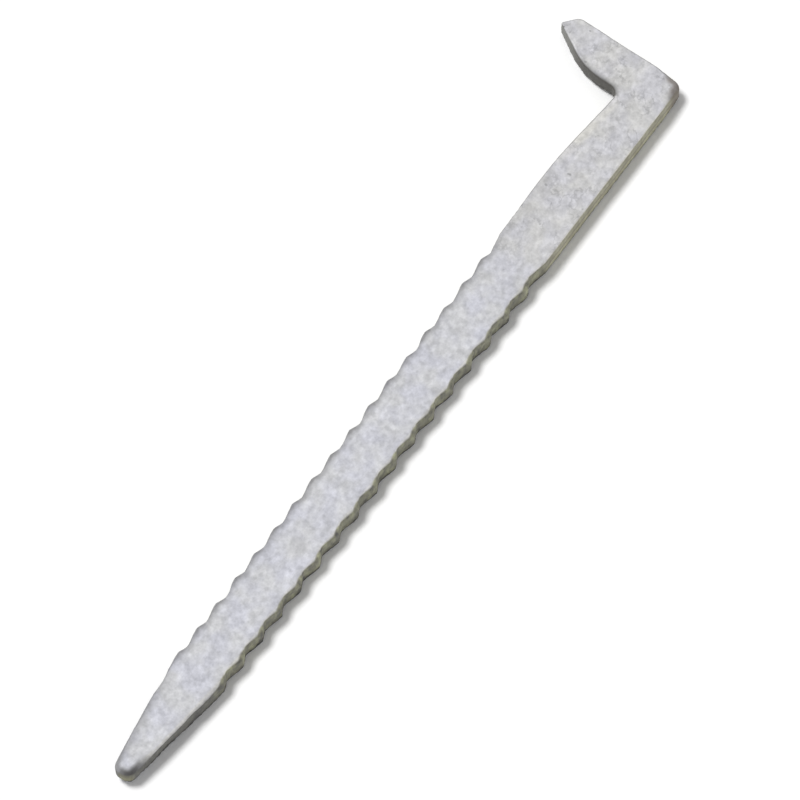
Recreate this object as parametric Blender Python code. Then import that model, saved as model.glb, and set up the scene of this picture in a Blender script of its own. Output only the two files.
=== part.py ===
"""A small track spike for model railways: one piece of flat steel with a hooked head and a barbed shank.

The spike lies on its broad face. +X runs along the shank from the tip to the head, +Y is the side
that the hook points to, and +Z is up through the thickness. The origin is at the middle of the
length and width, on the underside.
"""

import math

import bpy
from mathutils import Vector

MM = 0.001

# Stock
LENGTH = 12.70
THICKNESS = 0.364
LOWER_EDGE_Y = -0.399

# Tip: a blunt round end between two tapering edges
TIP_WIDTH = 0.301
TIP_MIDDLE_Y = -0.019
TIP_FILLET = 0.155
TIP_REACH = 0.3

# Barbs: the same row of teeth on both edges, each with a long ramp on its tip side
BARB_COUNT = 17
BARB_PITCH = 0.443
BARB_DEPTH = 0.064
BARB_WIDTH = 0.790
BARB_MIDDLE_Y = -0.007
FIRST_CREST_X = 1.872
RAMP_SHARE = 0.68
BARB_ROUNDNESS = 0.5
RAMP_STEPS = 6
FALL_STEPS = 4

# Plain shank and the neck behind the head
SHANK_START_X = 9.40
SHANK_TOP_Y = 0.383
NECK_START = (10.69, 0.397)
NECK_START_FILLET = 6.0
NECK_END_Y = 0.273
THROAT_FILLET = 0.13

# Head: a bar square to the shank, with a curved underside and a slanted nose
UNDERSIDE_X = 12.10
UNDERSIDE_BEND_Y = 0.882
UNDERSIDE_FILLET = 1.0
NOSE = (12.487, 1.522)
NOSE_TOP_Y = 1.334
NOSE_START_Y = 1.45
NOSE_FILLET = 0.035
NOSE_TOP_FILLET = 0.15
HEEL_FILLET = 0.14

# Edges, each as (roll, under). Roll: how far in from the side the top face starts to round over, and
# how deep it has fallen at the side; it is widest where the outline sticks out. Under: the same for
# the nearly sharp edge of the underside.
EDGE_TIP = (0.12, 0.14)
EDGE_TAPER = (0.055, 0.10)
EDGE_CREST = (0.095, 0.02)
EDGE_VALLEY = (0.042, 0.02)
EDGE_SHANK = (0.035, 0.02)
EDGE_HEEL = (0.11, 0.07)
EDGE_HEAD = (0.025, 0.02)
EDGE_NOSE = (0.025, 0.09)
EDGE_UNDERSIDE = (0.05, 0.075)
HEEL_REACH = 0.45
ROLL_STEPS = 3
UNDER_STEPS = 2

ARC_STEP = math.radians(14.0)
SMOOTH_ANGLE = math.radians(40.0)


def clear_scene():
    for old in list(bpy.data.objects):
        bpy.data.objects.remove(old, do_unlink=True)


def fillet(before, corner, after, radius, edge):
    """Points of the arc that rounds one corner of the outline, each with its edge."""
    to_before = math.atan2(before[1] - corner[1], before[0] - corner[0])
    to_after = math.atan2(after[1] - corner[1], after[0] - corner[0])
    opening = (to_after - to_before + math.pi) % (2.0 * math.pi) - math.pi
    turn = math.pi - abs(opening)
    middle = to_before + opening / 2.0
    centre_distance = radius / math.sin(abs(opening) / 2.0)
    centre_x = corner[0] + centre_distance * math.cos(middle)
    centre_y = corner[1] + centre_distance * math.sin(middle)
    steps = max(2, math.ceil(turn / ARC_STEP))
    side = 1.0 if opening > 0.0 else -1.0
    points = []
    for step in range(steps + 1):
        angle = middle + math.pi + side * turn * (0.5 - step / steps)
        x = centre_x + radius * math.cos(angle)
        y = centre_y + radius * math.sin(angle)
        points.append((x, y, *edge))
    return points


def between(start, end, share):
    """The point at a share of the way from one point to another."""
    return start[0] + (end[0] - start[0]) * share, start[1] + (end[1] - start[1]) * share


def barb_height(share):
    """Height of a tooth, 0 in its valley and 1 on its crest, at a share of the pitch from the valley."""
    if share < RAMP_SHARE:
        rise = share / RAMP_SHARE
    else:
        rise = (1.0 - share) / (1.0 - RAMP_SHARE)
    smooth = 0.5 - 0.5 * math.cos(math.pi * rise)
    return BARB_ROUNDNESS * smooth + (1.0 - BARB_ROUNDNESS) * rise


def barb_points(side):
    """One barbed edge from the first crest to the last valley; side is 1 for the hook's side, or -1."""
    fall = [RAMP_SHARE + (1.0 - RAMP_SHARE) * step / FALL_STEPS for step in range(FALL_STEPS)]
    ramp = [1.0 + RAMP_SHARE * step / RAMP_STEPS for step in range(RAMP_STEPS)]
    points = []
    for tooth in range(BARB_COUNT):
        last = tooth == BARB_COUNT - 1
        for share in fall + ([1.0] if last else ramp):
            height = barb_height(share % 1.0)
            x = FIRST_CREST_X + (tooth + share - RAMP_SHARE) * BARB_PITCH
            y = BARB_MIDDLE_Y + side * (BARB_WIDTH / 2.0 - BARB_DEPTH * (1.0 - height))
            edge = [low + (high - low) * height for low, high in zip(EDGE_VALLEY, EDGE_CREST)]
            points.append((x, y, *edge))
    return points


def outline():
    """The spike's outline, anticlockwise seen from above, as (x, y, roll, under)."""
    lower = barb_points(-1)
    upper = barb_points(1)[::-1]
    tip_low = (0.0, TIP_MIDDLE_Y - TIP_WIDTH / 2.0)
    tip_high = (0.0, TIP_MIDDLE_Y + TIP_WIDTH / 2.0)
    heel = (LENGTH, LOWER_EDGE_Y)
    nose_top = (LENGTH, NOSE_TOP_Y)
    bend = (UNDERSIDE_X, UNDERSIDE_BEND_Y)
    throat = (UNDERSIDE_X, NECK_END_Y)
    shank_low = (SHANK_START_X, LOWER_EDGE_Y)
    shank_high = (SHANK_START_X, SHANK_TOP_Y)

    points = []
    points += fillet(tip_high, tip_low, lower[0], TIP_FILLET, EDGE_TIP)
    points.append((*between(tip_low, lower[0], TIP_REACH), *EDGE_TAPER))
    points += lower
    points.append((*shank_low, *EDGE_SHANK))
    points.append((LENGTH - HEEL_REACH, LOWER_EDGE_Y, *EDGE_SHANK))
    points += fillet(shank_low, heel, nose_top, HEEL_FILLET, EDGE_HEEL)
    points.append((LENGTH, LOWER_EDGE_Y + HEEL_REACH, *EDGE_HEAD))
    points += fillet(heel, nose_top, NOSE, NOSE_TOP_FILLET, EDGE_HEAD)
    points += fillet(nose_top, NOSE, bend, NOSE_FILLET, EDGE_NOSE)
    points += fillet(NOSE, bend, throat, UNDERSIDE_FILLET, EDGE_UNDERSIDE)
    points += fillet(bend, throat, NECK_START, THROAT_FILLET, EDGE_UNDERSIDE)
    points += fillet(throat, NECK_START, shank_high, NECK_START_FILLET, EDGE_SHANK)
    points.append((*shank_high, *EDGE_SHANK))
    points += upper
    points.append((*between(tip_high, upper[-1], TIP_REACH), *EDGE_TAPER))
    points += fillet(upper[-1], tip_high, tip_low, TIP_FILLET, EDGE_TIP)
    return points


def inward(before, here, after):
    """Unit vector into the metal: along Y at the barbs and at the nose, else square to the edge."""
    if FIRST_CREST_X <= here[0] < SHANK_START_X or here[1] > NOSE_START_Y:
        return 0.0, -math.copysign(1.0, here[1])
    ax, ay = here[0] - before[0], here[1] - before[1]
    bx, by = after[0] - here[0], after[1] - here[1]
    a = math.hypot(ax, ay)
    b = math.hypot(bx, by)
    nx = -(ay / a + by / b)
    ny = ax / a + bx / b
    n = math.hypot(nx, ny)
    return nx / n, ny / n


def section(roll, under):
    """(inset, height) of each ring up the side, from the underside's rim to the top face's rim."""
    rings = []
    for step in range(UNDER_STEPS + 1):
        turn = 0.5 * math.pi * step / UNDER_STEPS
        rings.append((under * (1.0 - math.sin(turn)), under * (1.0 - math.cos(turn))))
    for step in range(ROLL_STEPS + 1):
        turn = 0.5 * math.pi * step / ROLL_STEPS
        rings.append((roll * (1.0 - math.cos(turn)), THICKNESS - roll * (1.0 - math.sin(turn))))
    return rings


def spike_mesh():
    points = outline()
    count = len(points)
    x_middle = LENGTH / 2.0
    y_middle = (min(point[1] for point in points) + max(point[1] for point in points)) / 2.0
    columns = []
    for i, (x, y, roll, under) in enumerate(points):
        nx, ny = inward(points[i - 1], points[i], points[(i + 1) % count])
        column = []
        for inset, height in section(roll, under):
            column.append((x + nx * inset - x_middle, y + ny * inset - y_middle, height))
        columns.append(column)
    rings = len(columns[0])
    vertices = [Vector(column[ring]) * MM for ring in range(rings) for column in columns]
    faces = [tuple(reversed(range(count)))]
    for ring in range(rings - 1):
        low = ring * count
        high = low + count
        for i in range(count):
            j = (i + 1) % count
            faces.append((low + i, low + j, high + j, high + i))
    faces.append(tuple(range((rings - 1) * count, rings * count)))
    mesh = bpy.data.meshes.new("spike")
    mesh.from_pydata(vertices, [], faces)
    mesh.update()
    mesh.shade_smooth()
    mesh.set_sharp_from_angle(angle=SMOOTH_ANGLE)
    return mesh


def plated_steel():
    material = bpy.data.materials.new("plated_steel")
    material.use_nodes = True
    shader = material.node_tree.nodes["Principled BSDF"]
    shader.inputs["Base Color"].default_value = (0.62, 0.62, 0.64, 1.0)
    shader.inputs["Metallic"].default_value = 0.9
    shader.inputs["Roughness"].default_value = 0.55
    return material


def build():
    clear_scene()
    mesh = spike_mesh()
    mesh.materials.append(plated_steel())
    spike = bpy.data.objects.new("spike", mesh)
    bpy.context.scene.collection.objects.link(spike)
    return spike


build()
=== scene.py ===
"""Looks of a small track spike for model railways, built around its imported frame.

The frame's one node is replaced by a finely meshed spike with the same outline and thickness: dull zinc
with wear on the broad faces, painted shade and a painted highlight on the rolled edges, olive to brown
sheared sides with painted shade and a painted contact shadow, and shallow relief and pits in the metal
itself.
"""

import math

import bpy
import numpy as np
from mathutils import Matrix, Vector, geometry, kdtree, noise


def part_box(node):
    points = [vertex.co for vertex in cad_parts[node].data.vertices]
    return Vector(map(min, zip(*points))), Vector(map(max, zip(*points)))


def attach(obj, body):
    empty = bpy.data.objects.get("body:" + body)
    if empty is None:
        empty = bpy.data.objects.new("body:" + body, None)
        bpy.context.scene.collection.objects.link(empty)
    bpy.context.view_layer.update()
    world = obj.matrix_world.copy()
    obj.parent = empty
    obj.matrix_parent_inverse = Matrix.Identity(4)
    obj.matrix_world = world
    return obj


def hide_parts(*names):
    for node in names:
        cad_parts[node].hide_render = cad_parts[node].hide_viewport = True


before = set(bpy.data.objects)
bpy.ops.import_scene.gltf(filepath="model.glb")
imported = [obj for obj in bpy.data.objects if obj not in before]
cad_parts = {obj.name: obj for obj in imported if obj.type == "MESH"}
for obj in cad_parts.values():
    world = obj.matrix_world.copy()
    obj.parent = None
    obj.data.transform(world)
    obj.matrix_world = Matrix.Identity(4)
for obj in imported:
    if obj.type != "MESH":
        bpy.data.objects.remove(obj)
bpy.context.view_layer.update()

BOX_LOW, BOX_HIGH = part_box("spike")
MM = 0.001

# Whole spike, from the frame
LENGTH = (BOX_HIGH.x - BOX_LOW.x) / MM
THICKNESS = (BOX_HIGH.z - BOX_LOW.z) / MM

# Shank and tip, with x from the tip and y from the shank's centre line
LOWER_EDGE_Y = -0.399
TIP_WIDTH = 0.301
TIP_MIDDLE_Y = -0.019
TIP_FILLET = 0.155
TIP_REACH = 0.3
SHANK_START_X = 9.40
SHANK_TOP_Y = 0.383
NECK_START = (10.69, 0.397)
NECK_START_FILLET = 6.0
NECK_END_Y = 0.273
THROAT_FILLET = 0.13

# Barbs: the same row of teeth on both edges, each with a long ramp on its tip side
BARB_COUNT = 17
BARB_PITCH = 0.443
BARB_DEPTH = 0.064
BARB_WIDTH = 0.790
BARB_MIDDLE_Y = -0.007
FIRST_CREST_X = 1.872
RAMP_SHARE = 0.68
BARB_ROUNDNESS = 0.5
BARB_STEPS = 22

# Head
UNDERSIDE_X = 12.10
UNDERSIDE_BEND_Y = 0.882
UNDERSIDE_FILLET = 1.0
NOSE = (12.487, 1.522)
NOSE_TOP_Y = 1.334
NOSE_START_Y = 1.45
NOSE_FILLET = 0.035
NOSE_TOP_FILLET = 0.15
HEEL_FILLET = 0.14

# Edges, each as (roll, under): how far in from the side the top face starts to round over, and the
# same for the underside
EDGE_TIP = (0.12, 0.14)
EDGE_TAPER = (0.055, 0.10)
EDGE_CREST = (0.095, 0.02)
EDGE_VALLEY = (0.042, 0.02)
EDGE_SHANK = (0.035, 0.02)
EDGE_HEEL = (0.11, 0.07)
EDGE_HEAD = (0.025, 0.02)
EDGE_NOSE = (0.025, 0.09)
EDGE_UNDERSIDE = (0.05, 0.075)
HEEL_REACH = 0.45
ROLL_STEPS = 8
UNDER_STEPS = 4

# Mesh density
EDGE_STEP = 0.022
WALL_STEPS = 10
FACE_STEP = 0.029
ARC_STEP = math.radians(6.0)

# Relief in the metal, all of it cut down from the plain shape: waves, mottling and pits all over,
# broken metal below the shear line on the sides, and dents in the barbs' sides
WAVE_SIZE = 0.55
WAVE_DEPTH = 0.006
MOTTLE_SIZE = 0.085
MOTTLE_DEPTH = 0.003
PIT_SIZE = 0.07
PIT_LEVEL = 0.42
PIT_DEPTH = 0.02
SHEAR_LINE_Z = 0.17
BREAK_SIZE = 0.045
BREAK_DEPTH = 0.010
DENT_SIZE = 0.30
DENT_DEPTH = 0.022
NOISE_TOP = 0.4
BUMP_DEPTH = 0.0016

# Zones of finish and of painted shade and highlight, each as the (start, end) of an even change. Along
# the shank, in x:
TIP_REFLECTION_END = (0.05, 0.14)
TIP_END = (0.10, 0.50)
TAPER_END = (1.2, 1.9)
TAPER_SIDE_END = (1.5, 2.0)
BARBS_END = (SHANK_START_X - 0.3, SHANK_START_X + 0.1)
CLEAN_SIDE_START = (SHANK_START_X - 0.3, SHANK_START_X + 0.3)
PLAIN_START = (SHANK_START_X - 0.2, SHANK_START_X)
PLAIN_END = (NECK_START[0] - 0.2, NECK_START[0])
NECK_RISE = (NECK_START[0], NECK_START[0] + 0.3)
NECK_FALL = (UNDERSIDE_X - 0.2, UNDERSIDE_X)
HEADWARD = (8.2, 10.0)
# Up the hook, in y:
HOOK_START_Y = 0.2
HOOK_SHADE_END = (0.7, 1.2)
HOOK_SIDE_PALER = (0.9, 1.4)
# From the heel's corner, as a distance:
HEEL_SHADE_END = (0.18, 0.34)
HEEL_SIDE_END = (0.20, 0.40)
HEEL_HIGHLIGHT_START = (0.25, 0.45)
# Along one tooth, as a share of the pitch from the valley:
# Where the painted shade on each upper crest's falling side rises and falls
FALL_SHADE_RISE = (0.25, 0.62)
FALL_SHADE_FALL = (0.74, 0.98)
BARED_RISE = (0.45, 0.78)
BARED_FALL = (0.86, 1.00)

# Painted shade along the top face's rim, where it rolls away from the light, each as (amount, start,
# end): how much of it there is, and how far in from the outline it starts to thin out and ends
TIP_SHADE = (1.0, 0.05, 0.13)
HEEL_SHADE = (0.85, 0.07, 0.14)
HOOK_SHADE = (0.60, 0.02, 0.09)
TAPER_SHADE = (0.42, 0.03, 0.16)
PLAIN_SHADE = (0.13, 0.03, 0.25)
CREST_SHADE = (0.40, 0.025, 0.11)
CREST_FALL_SHADE_MORE = 0.28
CREST_FALL_SHADE_FURTHER = 0.035
UPPER_TIP_SHADE = 0.5
BACK_SHADE_LINE = 0.6
SHADE_LINE_STEEP = (0.15, 0.55)

# Sides: how steep the metal is where they start, the heights where the rolled rims take over, and how
# high the painted contact shadow at their base reaches, with what the taper adds to it
SIDE_STEEP = 0.40
TAPER_SIDE_STEEP = 0.65
SIDE_STEEP_SPAN = 0.20
TIP_ROLL_Z = (0.28, 0.32)
BACK_ROLL_Z = (0.26, 0.30)
CREST_SIDE_Y = (0.354, 0.378)
CREST_BARED = 0.035
# Painted floor reflection on the tip's lower wall: the heights where it fades
TIP_REFLECTION_FADE_Z = (0.17, 0.30)
# Painted contact shadow at the base of the sides: its heights, and what the taper adds
FOOT_SHADOW_Z = (0.010, 0.044)
TAPER_FOOT_SHADOW_Z = (0.020, 0.045)
# Painted highlight on the lower rolled edge and along the neck
HIGHLIGHT_STEEP = (0.01, 0.12)
NECK_HIGHLIGHT = (0.5, 0.08, 0.16)

# Colours
ZINC_SHANK = (0.528, 0.533, 0.565)
ZINC_HEAD = (0.526, 0.525, 0.536)
# Painted highlight: how much brighter the zinc is where light catches the edges
HIGHLIGHT_GAIN = (1.24, 1.22, 1.14)
# Painted shade on the rolled rims: mottled dark grey, browner at the heel
SHADE_DARK = (0.085, 0.083, 0.083)
SHADE_PALE = (0.145, 0.142, 0.140)
SHADE_HEEL_BROWN = (0.235, 0.208, 0.190)
CUT_DARK = (0.150, 0.147, 0.135)
CUT_OLIVE = (0.285, 0.280, 0.212)
CUT_PALE = (0.460, 0.465, 0.315)
CLEAN_DARK = (0.355, 0.338, 0.252)
CLEAN_PALE = (0.500, 0.488, 0.372)
TORN_GAIN = (1.32, 1.32, 1.28)
SHEAR_BROWN = (0.290, 0.260, 0.205)
DULL_DARK = (0.130, 0.127, 0.120)
DULL_PALE = (0.225, 0.222, 0.195)
# Painted shade on the heel's side, and under the hook, darkest into the throat
HEEL_SHADE_BROWN = (0.270, 0.240, 0.200)
HOOK_SHADE_DARK = (0.120, 0.115, 0.105)
HOOK_SHADE_PALE = (0.250, 0.250, 0.235)
# Olive metal with the floor's light painted on as a reflection, on the tip's lower wall
TIP_REFLECTION_OLIVE = (0.300, 0.290, 0.190)
# Painted contact shadow where the sides meet the floor
FOOT_SHADOW = (0.060, 0.060, 0.055)
FLOOR_WHITE = (0.960, 0.960, 0.960)

# View: where the camera stands, and the width of the frame where the spike lies
VIEW_AZIMUTH = math.radians(-54.743)
VIEW_ELEVATION = math.radians(66.776)
VIEW_DISTANCE = 156.8
FRAME_WIDTH = 10.870
AIM_RIGHT = 0.545
AIM_UP = 0.065
SENSOR = 36.0

# Studio: a soft key above the hooked side, and surroundings that brighten from the horizon to overhead
KEY_STRENGTH = 2.35
KEY_ANGLE = math.radians(18.0)
KEY_TOWARDS = (-0.08, 0.390, 0.90)
SKY_LEVELS = (0.10, 0.31, 0.64)
FLOOR_RADIUS = 600.0
FLOOR_SIDES = 64
FLOOR_GAP = 0.002


# Outline ------------------------------------------------------------------------------------------


def fillet(before, corner, after, radius, edge):
    """Points of the arc that rounds one corner of the outline, each with its edge."""
    to_before = math.atan2(before[1] - corner[1], before[0] - corner[0])
    to_after = math.atan2(after[1] - corner[1], after[0] - corner[0])
    opening = (to_after - to_before + math.pi) % (2.0 * math.pi) - math.pi
    turn = math.pi - abs(opening)
    middle = to_before + opening / 2.0
    centre_distance = radius / math.sin(abs(opening) / 2.0)
    centre_x = corner[0] + centre_distance * math.cos(middle)
    centre_y = corner[1] + centre_distance * math.sin(middle)
    steps = max(4, math.ceil(turn / ARC_STEP))
    side = 1.0 if opening > 0.0 else -1.0
    points = []
    for step in range(steps + 1):
        angle = middle + math.pi + side * turn * (0.5 - step / steps)
        x = centre_x + radius * math.cos(angle)
        y = centre_y + radius * math.sin(angle)
        points.append((x, y, *edge))
    return points


def between(start, end, share):
    """The point at a share of the way from one point to another."""
    return start[0] + (end[0] - start[0]) * share, start[1] + (end[1] - start[1]) * share


def barb_height(share):
    """Height of a tooth, 0 in its valley and 1 on its crest, at a share of the pitch."""
    if share < RAMP_SHARE:
        rise = share / RAMP_SHARE
    else:
        rise = (1.0 - share) / (1.0 - RAMP_SHARE)
    smooth = 0.5 - 0.5 * math.cos(math.pi * rise)
    return BARB_ROUNDNESS * smooth + (1.0 - BARB_ROUNDNESS) * rise


def barb_points(side):
    """One barbed edge from the first crest to the last valley; side is 1 for the hook's side, or -1."""
    length = BARB_COUNT - RAMP_SHARE
    count = round(length * BARB_STEPS)
    points = []
    for step in range(count + 1):
        share = RAMP_SHARE + length * step / count
        height = barb_height(share % 1.0)
        x = FIRST_CREST_X + (share - RAMP_SHARE) * BARB_PITCH
        y = BARB_MIDDLE_Y + side * (BARB_WIDTH / 2.0 - BARB_DEPTH * (1.0 - height))
        edge = [low + (high - low) * height for low, high in zip(EDGE_VALLEY, EDGE_CREST)]
        points.append((x, y, *edge))
    return points


def corner_points():
    """The spike's outline, anticlockwise seen from above, as (x, y, roll, under)."""
    lower = barb_points(-1)
    upper = barb_points(1)[::-1]
    tip_low = (0.0, TIP_MIDDLE_Y - TIP_WIDTH / 2.0)
    tip_high = (0.0, TIP_MIDDLE_Y + TIP_WIDTH / 2.0)
    heel = (LENGTH, LOWER_EDGE_Y)
    nose_top = (LENGTH, NOSE_TOP_Y)
    bend = (UNDERSIDE_X, UNDERSIDE_BEND_Y)
    throat = (UNDERSIDE_X, NECK_END_Y)
    shank_low = (SHANK_START_X, LOWER_EDGE_Y)
    shank_high = (SHANK_START_X, SHANK_TOP_Y)

    points = []
    points += fillet(tip_high, tip_low, lower[0], TIP_FILLET, EDGE_TIP)
    points.append((*between(tip_low, lower[0], TIP_REACH), *EDGE_TAPER))
    points += lower
    points.append((*shank_low, *EDGE_SHANK))
    points.append((LENGTH - HEEL_REACH, LOWER_EDGE_Y, *EDGE_SHANK))
    points += fillet(shank_low, heel, nose_top, HEEL_FILLET, EDGE_HEEL)
    points.append((LENGTH, LOWER_EDGE_Y + HEEL_REACH, *EDGE_HEAD))
    points += fillet(heel, nose_top, NOSE, NOSE_TOP_FILLET, EDGE_HEAD)
    points += fillet(nose_top, NOSE, bend, NOSE_FILLET, EDGE_NOSE)
    points += fillet(NOSE, bend, throat, UNDERSIDE_FILLET, EDGE_UNDERSIDE)
    points += fillet(bend, throat, NECK_START, THROAT_FILLET, EDGE_UNDERSIDE)
    points += fillet(throat, NECK_START, shank_high, NECK_START_FILLET, EDGE_SHANK)
    points.append((*shank_high, *EDGE_SHANK))
    points += upper
    points.append((*between(tip_high, upper[-1], TIP_REACH), *EDGE_TAPER))
    points += fillet(upper[-1], tip_high, tip_low, TIP_FILLET, EDGE_TIP)
    return points


def outline():
    """The outline with its long stretches divided, as an array of (x, y, roll, under)."""
    corners = corner_points()
    points = []
    for here, after in zip(corners, corners[1:] + corners[:1]):
        pieces = max(1, math.ceil(math.dist(here[:2], after[:2]) / EDGE_STEP))
        for piece in range(pieces):
            share = piece / pieces
            points.append([a + (b - a) * share for a, b in zip(here, after)])
    return np.array(points)


def square_inward(path):
    """Unit vectors into the metal, square to the edge."""
    forward = np.roll(path, -1, axis=0) - path
    forward /= np.linalg.norm(forward, axis=1, keepdims=True)
    along = forward + np.roll(forward, 1, axis=0)
    along /= np.linalg.norm(along, axis=1, keepdims=True)
    return np.stack([-along[:, 1], along[:, 0]], axis=1)


def inward(path):
    """Unit vectors into the metal: along Y at the barbs and at the nose, else square to the edge."""
    across = np.stack([np.zeros(len(path)), -np.sign(path[:, 1])], axis=1)
    barbed = (path[:, 0] >= FIRST_CREST_X) & (path[:, 0] < SHANK_START_X)
    nosed = path[:, 1] > NOSE_START_Y
    return np.where((barbed | nosed)[:, None], across, square_inward(path))


# Mesh ---------------------------------------------------------------------------------------------


def section(roll, under):
    """(inset, height) of each ring up the side, from the underside's rim to the top face's rim."""
    rings = []
    for step in range(UNDER_STEPS + 1):
        turn = 0.5 * math.pi * step / UNDER_STEPS
        rings.append((under * (1.0 - math.sin(turn)), under * (1.0 - math.cos(turn))))
    for step in range(1, WALL_STEPS):
        rings.append((np.zeros_like(under), under + (THICKNESS - roll - under) * step / WALL_STEPS))
    for step in range(ROLL_STEPS + 1):
        turn = 0.5 * math.pi * step / ROLL_STEPS
        rings.append((roll * (1.0 - math.cos(turn)), THICKNESS - roll * (1.0 - math.sin(turn))))
    return rings


def inside(points, loop):
    """Which points lie inside a closed loop, and how far each is from it."""
    start = loop
    end = np.roll(loop, -1, axis=0)
    edge = end - start
    within = np.zeros(len(points), bool)
    distance = np.zeros(len(points))
    for index, (x, y) in enumerate(points):
        crosses = (start[:, 1] > y) != (end[:, 1] > y)
        rise = np.where(crosses, edge[:, 1], 1.0)
        at = start[:, 0] + (y - start[:, 1]) / rise * edge[:, 0]
        within[index] = np.count_nonzero(crosses & (x < at)) % 2 == 1
        gaps = start - (x, y)
        distance[index] = math.sqrt(np.min(gaps[:, 0] ** 2 + gaps[:, 1] ** 2))
    return within, distance


def face_grid(loop):
    """Evenly spread points inside a broad face, in staggered rows clear of its rim."""
    low = loop.min(axis=0)
    high = loop.max(axis=0)
    rows = np.arange(low[1], high[1], FACE_STEP * math.sqrt(0.75))
    columns = np.arange(low[0], high[0], FACE_STEP)
    points = [(x + FACE_STEP / 2.0 * (row % 2), y) for row, y in enumerate(rows) for x in columns]
    points = np.array(points)
    within, distance = inside(points, loop)
    return points[within & (distance > 0.7 * FACE_STEP)]


def face_triangles(loop, grid):
    """Triangles that fill the loop through the grid's points, as indices into loop + grid."""
    flat = [Vector(point) for point in np.concatenate([loop, grid])]
    ring = list(range(len(loop)))
    result = geometry.delaunay_2d_cdt(flat, [], [ring], 1, 1e-7)
    if len(result[0]) != len(flat):
        raise RuntimeError("the face's rim crosses itself")
    return result[2]


def spike_shape(points):
    """Vertices in millimetres and the faces between them."""
    path = points[:, :2]
    towards = inward(path)
    rings = section(points[:, 2], points[:, 3])
    count = len(points)
    vertices = []
    for inset, height in rings:
        vertices.append(np.column_stack([path + towards * inset[:, None], height]))
    rims = [vertices[0][:, :2], vertices[-1][:, :2]]
    grids = [face_grid(rim) for rim in rims]
    for grid, height in zip(grids, (0.0, THICKNESS)):
        vertices.append(np.column_stack([grid, np.full(len(grid), height)]))

    faces = []
    for ring in range(len(rings) - 1):
        low = ring * count
        for i in range(count):
            j = (i + 1) % count
            faces.append((low + i, low + j, low + count + j, low + count + i))
    low_grid = len(rings) * count
    for triangle in face_triangles(rims[0], grids[0]):
        faces.append([i if i < count else i - count + low_grid for i in reversed(triangle)])
    top_ring = (len(rings) - 1) * count
    top_grid = low_grid + len(grids[0])
    for triangle in face_triangles(rims[1], grids[1]):
        faces.append([i + top_ring if i < count else i - count + top_grid for i in triangle])
    return np.concatenate(vertices), faces


def smooth(value, start, end):
    """0 below start, 1 above end, and an even curve between."""
    share = np.clip((value - start) / (end - start), 0.0, 1.0)
    return share * share * (3.0 - 2.0 * share)


def fade(value, start, end):
    """1 below start, 0 above end, and an even curve between."""
    return 1.0 - smooth(value, start, end)


def window(value, rise, fall):
    """0, then 1 past the rise, then 0 again past the fall, with even curves between."""
    return smooth(value, *rise) * fade(value, *fall)


def noise_at(places, size, offset):
    """Smooth noise, mostly within 0.5 of zero, at each place."""
    shift = Vector(offset)
    return np.array([noise.noise(Vector(place) / size + shift) for place in places])


def relief(places, steep):
    """How far the surface lies under the plain shape: waves and pits all over, more on the sides."""
    wave = WAVE_DEPTH * (NOISE_TOP - noise_at(places, WAVE_SIZE, (0.0, 0.0, 0.0)))
    mottle = MOTTLE_DEPTH * (NOISE_TOP - noise_at(places, MOTTLE_SIZE, (7.3, 1.9, 4.1)))
    pits = PIT_DEPTH * np.clip(noise_at(places, PIT_SIZE, (3.7, 8.1, 2.2)) - PIT_LEVEL, 0.0, None)
    side = smooth(steep, 0.3, 0.9)
    barbed = fade(places[:, 0], SHANK_START_X - 0.4, SHANK_START_X)
    dents = DENT_DEPTH * np.clip(noise_at(places, DENT_SIZE, (5.5, 0.4, 9.0)), 0.0, None)
    broken = fade(places[:, 2], SHEAR_LINE_Z - 0.03, SHEAR_LINE_Z)
    tearing = BREAK_DEPTH * broken * (0.5 - noise_at(places, BREAK_SIZE, (1.1, 6.6, 3.3)))
    return np.clip(wave + mottle, 0.0, None) + pits + side * (barbed * dents + tearing)


def nearest_edge(places, points):
    """For each place: how far in plan the outline is, and its under and outward direction there."""
    outward = -square_inward(points[:, :2])
    tree = kdtree.KDTree(len(points))
    for index, point in enumerate(points):
        tree.insert((point[0], point[1], 0.0), index)
    tree.balance()
    found = [tree.find((place[0], place[1], 0.0)) for place in places]
    indices = np.array([index for _, index, _ in found])
    distances = np.array([distance for _, _, distance in found])
    return distances, points[indices, 3], outward[indices]


class Spots:
    """What decides the finish, the painted shade and the painted highlight at each place: where it is
    on the spike, and how near to its outline.
    """

    def __init__(self, places, steep, points):
        self.x, self.y, self.z = places.T
        self.steep = steep
        self.distance, self.under, outward = nearest_edge(places, points)
        self.out_x, self.out_y = outward.T
        self.tooth = ((self.x - FIRST_CREST_X) / BARB_PITCH + RAMP_SHARE) % 1.0
        self.heel_reach = np.hypot(self.x - LENGTH, self.y - LOWER_EDGE_Y)
        self.top = smooth(self.z, 0.3 * THICKNESS, 0.5 * THICKNESS)
        self.tip_end = fade(self.x, *TIP_END)
        self.tapered = fade(self.x, *TAPER_END)
        self.barbed = window(self.x, TAPER_END, BARBS_END)
        self.hook_side = np.clip(3.0 * self.out_y, 0.0, 1.0)
        self.head_end = np.clip(3.0 * self.out_x, 0.0, 1.0) * smooth(self.x, NECK_START[0], UNDERSIDE_X)
        self.lower_side = (self.out_y < -0.1) & (self.y < 0.0)
        self.under_hook = (self.y > HOOK_START_Y) & (self.out_x < -0.3) & (self.x > NECK_START[0])


def along_rim(spots, finish):
    """An amount that thins out inwards from the outline."""
    amount, start, end = finish
    return amount * fade(spots.distance, start, end)


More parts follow.
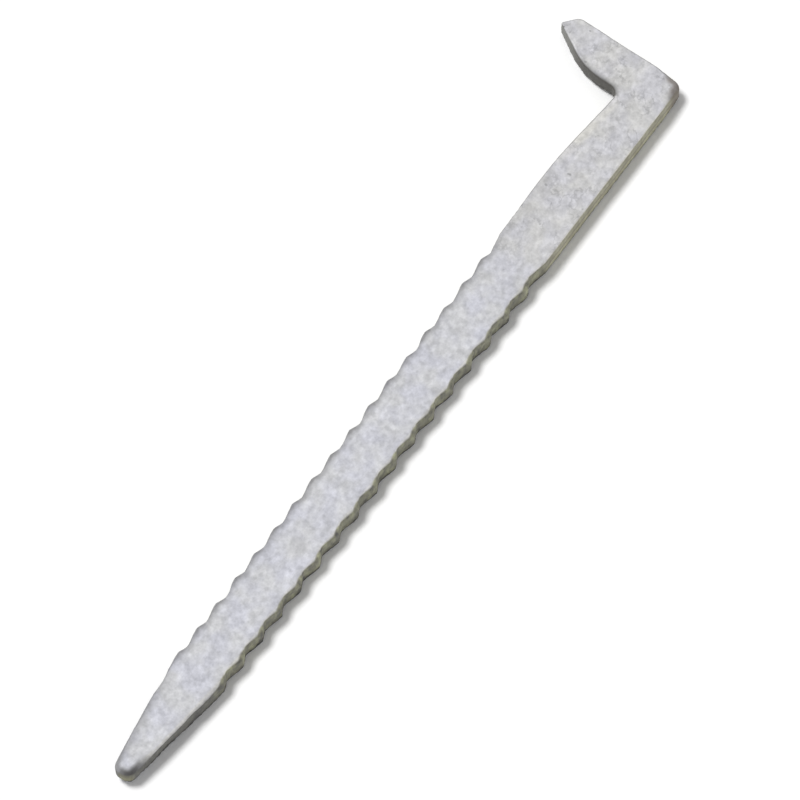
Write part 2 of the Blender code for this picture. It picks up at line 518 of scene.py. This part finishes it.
def rim_shade_share(spots):
    """Painted shade on the rolled rims: dark on the tip, the heel and the upper crests, and thinner
    along the other rims.
    """
    # Painted shade on each upper crest's falling side, which turns away from the light
    fall_shade = window(spots.tooth, FALL_SHADE_RISE, FALL_SHADE_FALL)
    amount, start, end = CREST_SHADE
    crests = (amount + CREST_FALL_SHADE_MORE * fall_shade) * spots.barbed * spots.hook_side
    crests *= fade(spots.distance, start, end + CREST_FALL_SHADE_FURTHER * fall_shade)
    # Painted shade on the tip's rounding, darker on its lower side
    lower_tip = smooth(-spots.out_y - 0.25 * spots.out_x, -0.2, 0.6)
    tip = (UPPER_TIP_SHADE + (1.0 - UPPER_TIP_SHADE) * lower_tip) * spots.tip_end
    tip *= along_rim(spots, TIP_SHADE)
    heel = fade(spots.heel_reach, *HEEL_SHADE_END) * along_rim(spots, HEEL_SHADE)
    hook = spots.under_hook * fade(spots.y, *HOOK_SHADE_END) * along_rim(spots, HOOK_SHADE)
    taper = spots.tapered * spots.hook_side * along_rim(spots, TAPER_SHADE)
    plain = window(spots.x, PLAIN_START, PLAIN_END) * spots.hook_side * along_rim(spots, PLAIN_SHADE)
    # A thin line of painted shade along the rims on the hook's side and the head's end
    line = np.maximum(BACK_SHADE_LINE * spots.hook_side, spots.head_end) * smooth(spots.steep, *SHADE_LINE_STEEP)
    return spots.top * np.maximum.reduce([crests, tip, heel, hook, taper, plain, line])


def highlight_share(spots):
    """A painted highlight along the lower edge, and a fainter one along the neck."""
    lower = spots.lower_side * smooth(spots.steep, *HIGHLIGHT_STEEP) * (1.0 - spots.tip_end)
    lower *= smooth(spots.heel_reach, *HEEL_HIGHLIGHT_START)
    neck = window(spots.x, NECK_RISE, NECK_FALL) * spots.hook_side * along_rim(spots, NECK_HIGHLIGHT)
    return spots.top * np.maximum(lower, neck)


def side_share(spots):
    """The sheared sides, which reach over the lower crests but stop under the rolled rims."""
    start = SIDE_STEEP + (TAPER_SIDE_STEEP - SIDE_STEEP) * fade(spots.x, *TAPER_SIDE_END)
    steep_metal = smooth(spots.steep, start, start + SIDE_STEEP_SPAN)
    bared = CREST_BARED * window(spots.tooth, BARED_RISE, BARED_FALL)
    crests = spots.lower_side * spots.barbed * spots.top * smooth(bared - spots.y, *CREST_SIDE_Y)
    back = np.where(spots.under_hook, 0.0, np.maximum(spots.hook_side, spots.head_end))
    share = np.maximum(steep_metal, crests)
    share *= 1.0 - spots.tip_end * smooth(spots.z, *TIP_ROLL_Z)
    share *= 1.0 - back * smooth(spots.z, *BACK_ROLL_Z)
    return share


def foot_shadow_share(spots, clean_side):
    """A painted contact shadow: the dark line where the sides turn under, faint on the plain shank."""
    start = FOOT_SHADOW_Z[0] + TAPER_FOOT_SHADOW_Z[0] * spots.tapered
    end = FOOT_SHADOW_Z[1] + TAPER_FOOT_SHADOW_Z[1] * spots.tapered
    return fade(spots.z - 0.6 * spots.under, start, end) * (1.0 - 0.7 * clean_side)


def paint(places, steep, points):
    """Where each finish, painted shade, painted highlight and painted reflection shows, from 0 to 1 at
    each place.
    """
    spots = Spots(places, steep, points)
    clean_side = smooth(spots.x, *CLEAN_SIDE_START) * spots.lower_side
    # Painted reflection of the floor on the tip's lower wall, fading higher up
    tip_reflection = fade(spots.x, *TIP_REFLECTION_END) * fade(spots.out_y, -0.15, 0.35)
    # Most of these are painted light: shade on the rims, the heel and under the hook, a highlight on
    # the lower edge and neck, a contact shadow at the base and a floor reflection at the tip
    return {
        "rim_shade": rim_shade_share(spots),
        "edge_highlight": highlight_share(spots),
        "side": side_share(spots),
        "foot_shadow": foot_shadow_share(spots, clean_side),
        "broken": fade(spots.z, SHEAR_LINE_Z - 0.02, SHEAR_LINE_Z + 0.01),
        "shear_line": np.exp(-(((spots.z - SHEAR_LINE_Z - 0.02) / 0.02) ** 2)),
        "tip_reflection": tip_reflection * (1.0 - 0.6 * smooth(spots.z, *TIP_REFLECTION_FADE_Z)),
        "dull_side": fade(spots.x, *TAPER_SIDE_END),
        "heel": fade(spots.heel_reach, *HEEL_SIDE_END),
        "under_hook": 1.0 * spots.under_hook,
        "nose": smooth(spots.y, *HOOK_SIDE_PALER),
        "clean_side": clean_side,
        "headward": smooth(spots.x, *HEADWARD),
    }


def spike_mesh():
    points = outline()
    places, faces = spike_shape(points)
    low_y = places[:, 1].min()
    high_y = places[:, 1].max()
    mesh = bpy.data.meshes.new("spike_body")
    mesh.from_pydata(places, [], faces)
    mesh.update()
    normals = np.array([vertex.normal[:] for vertex in mesh.vertices])
    steep = 1.0 - normals[:, 2] ** 2
    shaped = places - normals * relief(places, steep)[:, None]
    shaped -= (LENGTH / 2.0, (low_y + high_y) / 2.0, 0.0)
    shaped = np.clip(shaped * MM, BOX_LOW, BOX_HIGH)
    mesh.vertices.foreach_set("co", shaped.ravel())
    for name, values in paint(places, steep, points).items():
        layer = mesh.attributes.new(name, "FLOAT", "POINT")
        layer.data.foreach_set("value", values)
    mesh.update()
    mesh.shade_smooth()
    return mesh


# Materials ----------------------------------------------------------------------------------------


class Nodes:
    """Short ways to add and join nodes in one node tree."""

    def __init__(self, tree):
        self.tree = tree

    def add(self, kind, inputs=None, **settings):
        node = self.tree.nodes.new(kind)
        for name, value in settings.items():
            setattr(node, name, value)
        for name, value in (inputs or {}).items():
            if isinstance(value, bpy.types.NodeSocket):
                self.tree.links.new(value, node.inputs[name])
            else:
                node.inputs[name].default_value = value
        return node

    def noise(self, size, detail, roughness=0.5, offset=(0.0, 0.0, 0.0), stretch=1.0):
        """A value around 0.5 that varies over about the given size in millimetres."""
        place = self.add("ShaderNodeTexCoord").outputs["Object"]
        scale = (1.0, 1.0, 1.0 / stretch)
        moved = self.add("ShaderNodeMapping", {"Vector": place, "Location": offset, "Scale": scale})
        settings = {
            "Vector": moved.outputs["Vector"],
            "Scale": 1.0 / (size * MM),
            "Detail": detail,
            "Roughness": roughness,
        }
        return self.add("ShaderNodeTexNoise", settings).outputs["Fac"]

    def ramp(self, value, stops):
        """A colour or level for each value, from (position, colour) stops."""
        node = self.add("ShaderNodeValToRGB", {"Fac": value})
        elements = node.color_ramp.elements
        while len(elements) < len(stops):
            elements.new(0.5)
        for element, (position, colour) in zip(elements, stops):
            element.position = position
            element.color = (*colour, 1.0)
        return node.outputs["Color"]

    def mix(self, share, first, second, blend="MIX"):
        """The first colour with a share of the second mixed in."""
        node = self.add("ShaderNodeMix", data_type="RGBA", blend_type=blend)
        for number, value in ((0, share), (6, first), (7, second)):
            socket = node.inputs[number]
            if isinstance(value, bpy.types.NodeSocket):
                self.tree.links.new(value, socket)
            elif isinstance(value, tuple):
                socket.default_value = (*value, 1.0)
            else:
                socket.default_value = value
        return node.outputs[2]

    def multiply(self, first, second):
        return self.mix(1.0, first, second, "MULTIPLY")

    def painted(self, name):
        """How much of a finish is painted on the mesh."""
        return self.add("ShaderNodeAttribute", attribute_name=name).outputs["Fac"]


def grey(level):
    return (level, level, level)


def zinc_colour(n):
    """Zinc: blue grey on the shank, plainer towards the head, with fine dark veins and specks there."""
    headward = n.painted("headward")
    zinc = n.mix(headward, ZINC_SHANK, ZINC_HEAD)
    grain = n.ramp(n.noise(0.065, 2.5, 0.55), [(0.28, grey(0.84)), (0.72, grey(1.16))])
    cloud = n.noise(0.17, 2.0, 0.5, (0.003, 0.001, 0.002))
    cloud = n.ramp(cloud, [(0.28, grey(0.92)), (0.72, grey(1.08))])
    cream = n.noise(0.35, 2.0, 0.5, (0.002, 0.005, 0.001))
    cream = n.ramp(cream, [(0.38, (0.985, 0.985, 1.015)), (0.62, (1.02, 1.015, 0.985))])
    zinc = n.multiply(n.multiply(n.multiply(zinc, grain), cloud), cream)

    vein = n.noise(0.20, 3.0, 0.6, (0.006, 0.0, 0.004))
    plain, dark = grey(1.0), grey(0.80)
    vein = n.ramp(vein, [(0.455, plain), (0.490, dark), (0.510, dark), (0.545, plain)])
    patches = n.ramp(n.noise(0.30, 1.0), [(0.45, grey(0.15)), (0.60, grey(1.0))])
    veined = n.add("ShaderNodeMath", {0: headward, 1: patches}, operation="MULTIPLY").outputs[0]
    zinc = n.mix(veined, zinc, n.multiply(zinc, vein))
    speck = n.noise(0.08, 0.0, 0.5, (0.001, 0.007, 0.0))
    speck = n.ramp(speck, [(0.13, grey(0.60)), (0.20, grey(1.0))])
    zinc = n.mix(headward, zinc, n.multiply(zinc, speck))
    # Painted highlight along the lower edge and the neck
    return n.mix(n.painted("edge_highlight"), zinc, n.multiply(zinc, HIGHLIGHT_GAIN))


def rim_shade_colour(n):
    """Painted shade: mottled dark grey, and brown at the heel."""
    rim_shade = n.ramp(n.noise(0.08, 3.0, 0.6), [(0.30, SHADE_DARK), (0.70, SHADE_PALE)])
    return n.mix(n.painted("heel"), rim_shade, SHADE_HEEL_BROWN)


def side_colour(n):
    """Sheared sides: olive along the barbs, paler behind them, dull at the taper, painted brown shade
    at the heel, painted shade under the hook, a painted floor reflection at the tip and a painted
    contact shadow at the base.
    """
    stain = n.noise(0.10, 3.0, 0.55, (0.0, 0.004, 0.0), 3.0)
    cut = n.ramp(stain, [(0.30, CUT_DARK), (0.50, CUT_OLIVE), (0.70, CUT_PALE)])
    clean = n.ramp(stain, [(0.32, CLEAN_DARK), (0.68, CLEAN_PALE)])
    clean = n.mix(n.painted("broken"), clean, n.multiply(clean, TORN_GAIN))
    clean = n.mix(n.painted("shear_line"), clean, SHEAR_BROWN)
    dull = n.ramp(stain, [(0.32, DULL_DARK), (0.68, DULL_PALE)])
    # Painted shade under the hook: dark in the throat, paler towards the nose
    hook = n.mix(n.painted("nose"), HOOK_SHADE_DARK, HOOK_SHADE_PALE)
    side = n.mix(n.painted("clean_side"), cut, clean)
    # Painted shade at the heel and under the hook, painted floor reflection at the tip, painted contact
    # shadow at the base
    finishes = [
        ("dull_side", dull),
        ("heel", HEEL_SHADE_BROWN),
        ("under_hook", hook),
        ("tip_reflection", TIP_REFLECTION_OLIVE),
        ("foot_shadow", FOOT_SHADOW),
    ]
    for name, colour in finishes:
        side = n.mix(n.painted(name), side, colour)
    return side


def worn_zinc():
    """Dull zinc on the broad faces, painted shade and a painted highlight on the rolled edges, olive
    brown on the sheared sides with painted shade and a contact shadow.
    """
    material = bpy.data.materials.new("worn_zinc")
    material.use_nodes = True
    tree = material.node_tree
    shader = tree.nodes["Principled BSDF"]
    n = Nodes(tree)
    colour = n.mix(n.painted("rim_shade"), zinc_colour(n), rim_shade_colour(n))
    colour = n.mix(n.painted("side"), colour, side_colour(n))
    rough = n.ramp(n.noise(0.16, 2.0), [(0.3, grey(0.62)), (0.7, grey(0.76))])
    height = n.noise(0.035, 3.0, 0.6)
    bump = n.add("ShaderNodeBump", {"Height": height, "Distance": BUMP_DEPTH * MM, "Strength": 1.0})
    tree.links.new(colour, shader.inputs["Base Color"])
    tree.links.new(rough, shader.inputs["Roughness"])
    tree.links.new(bump.outputs["Normal"], shader.inputs["Normal"])
    shader.inputs["Metallic"].default_value = 0.25
    return material


def pale_floor():
    material = bpy.data.materials.new("pale_floor")
    material.use_nodes = True
    shader = material.node_tree.nodes["Principled BSDF"]
    shader.inputs["Base Color"].default_value = (*FLOOR_WHITE, 1.0)
    shader.inputs["Roughness"].default_value = 0.9
    shader.inputs["Specular IOR Level"].default_value = 0.1
    return material


# Scene --------------------------------------------------------------------------------------------


def add_spike():
    spike = bpy.data.objects.new("spike_body", spike_mesh())
    bpy.context.scene.collection.objects.link(spike)
    spike.data.materials.append(worn_zinc())
    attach(spike, "root")
    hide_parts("spike")
    return spike


def add_floor():
    corners = []
    for side in range(FLOOR_SIDES):
        angle = 2.0 * math.pi * side / FLOOR_SIDES
        corners.append((FLOOR_RADIUS * MM * math.cos(angle), FLOOR_RADIUS * MM * math.sin(angle), 0.0))
    mesh = bpy.data.meshes.new("floor")
    mesh.from_pydata(corners, [], [tuple(range(FLOOR_SIDES))])
    mesh.materials.append(pale_floor())
    floor = bpy.data.objects.new("floor", mesh)
    floor.location.z = BOX_LOW.z - FLOOR_GAP * MM
    bpy.context.scene.collection.objects.link(floor)


def add_camera():
    right = Vector((math.cos(VIEW_AZIMUTH), math.sin(VIEW_AZIMUTH), 0.0))
    back = Vector(
        (
            math.sin(VIEW_AZIMUTH) * math.cos(VIEW_ELEVATION),
            -math.cos(VIEW_AZIMUTH) * math.cos(VIEW_ELEVATION),
            math.sin(VIEW_ELEVATION),
        )
    )
    up = back.cross(right)
    data = bpy.data.cameras.new("camera")
    data.sensor_width = SENSOR
    data.lens = SENSOR * VIEW_DISTANCE / FRAME_WIDTH
    data.clip_start = 0.01
    data.clip_end = 10.0
    camera = bpy.data.objects.new("camera", data)
    place = (back * VIEW_DISTANCE + right * AIM_RIGHT + up * AIM_UP) * MM
    camera.matrix_world = Matrix.Translation(place) @ Matrix((right, up, back)).transposed().to_4x4()
    bpy.context.scene.collection.objects.link(camera)
    bpy.context.scene.camera = camera


def add_light():
    """A large soft key above the spike's hooked side."""
    data = bpy.data.lights.new("key", "SUN")
    data.energy = KEY_STRENGTH
    data.angle = KEY_ANGLE
    key = bpy.data.objects.new("key", data)
    key.rotation_euler = Vector(KEY_TOWARDS).to_track_quat("Z", "Y").to_euler()
    bpy.context.scene.collection.objects.link(key)


def add_world():
    """Studio surroundings: bright overhead and darker towards the horizon."""
    world = bpy.data.worlds.new("studio")
    world.use_nodes = True
    bpy.context.scene.world = world
    n = Nodes(world.node_tree)
    direction = n.add("ShaderNodeTexCoord").outputs["Generated"]
    height = n.add("ShaderNodeSeparateXYZ", {"Vector": direction}).outputs["Z"]
    stops = [(position, grey(level)) for position, level in zip((0.0, 0.5, 1.0), SKY_LEVELS)]
    level = n.ramp(height, stops)
    background = world.node_tree.nodes["Background"]
    world.node_tree.links.new(level, background.inputs["Color"])


bpy.context.scene.view_settings.view_transform = "Standard"
add_spike()
add_floor()
add_camera()
add_light()
add_world()
